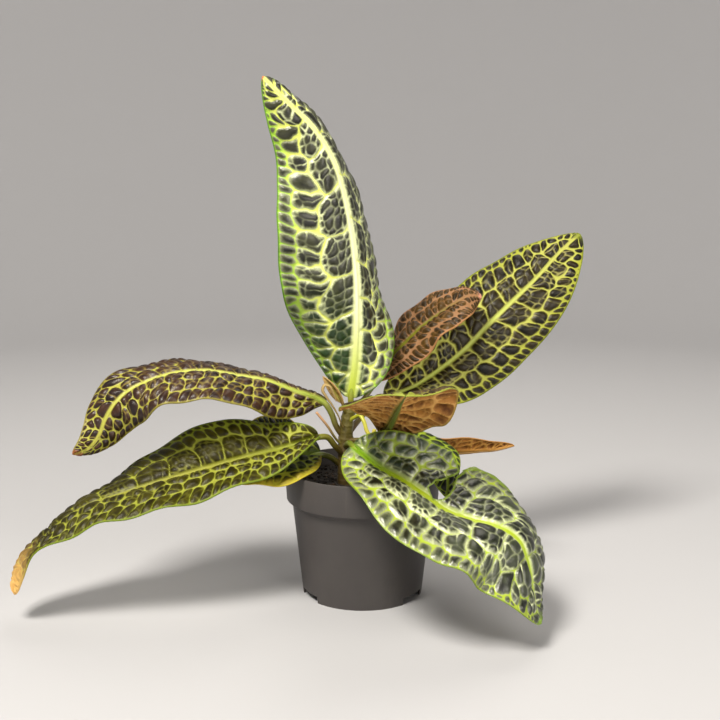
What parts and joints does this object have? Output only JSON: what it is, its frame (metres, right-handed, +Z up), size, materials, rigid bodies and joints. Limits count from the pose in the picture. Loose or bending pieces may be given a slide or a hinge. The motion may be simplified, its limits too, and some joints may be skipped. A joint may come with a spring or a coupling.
{
  "type": "potted labisia",
  "caption": "Potted house plant with long net-veined leaves on a short stem, in a round tapered nursery pot filled with soil.",
  "frame": {"origin": "middle of the pot's foot, on the surface it stands on", "axes": "+Z up along the pot's axis, +X to the right along the plant's widest spread, -Y towards the viewer in front"},
  "size_m": [0.4419, 0.2514, 0.3916],
  "materials": {
    "leaf_green": "glossy",
    "leaf_purple": "glossy",
    "leaf_brown": "satin",
    "stem_green": "satin",
    "potting_soil": "matte",
    "pot_plastic": "satin"
  },
  "bodies": {
    "root": {"pot": "pot_plastic", "soil": "potting_soil", "stem": "stem_green", "leaf_tall": "leaf_green", "leaf_right_rear": "leaf_green", "leaf_front_right": "leaf_green", "leaf_right_dark": "leaf_green", "leaf_lower_left": "leaf_green", "leaf_low_left": "leaf_green", "leaf_left": "leaf_purple", "leaf_young": "leaf_brown", "leaf_front": "leaf_brown", "leaf_right_edge": "leaf_brown", "leaf_unfolding": "leaf_brown", "leaf_curled": "leaf_brown"}
  },
  "joints": []
}
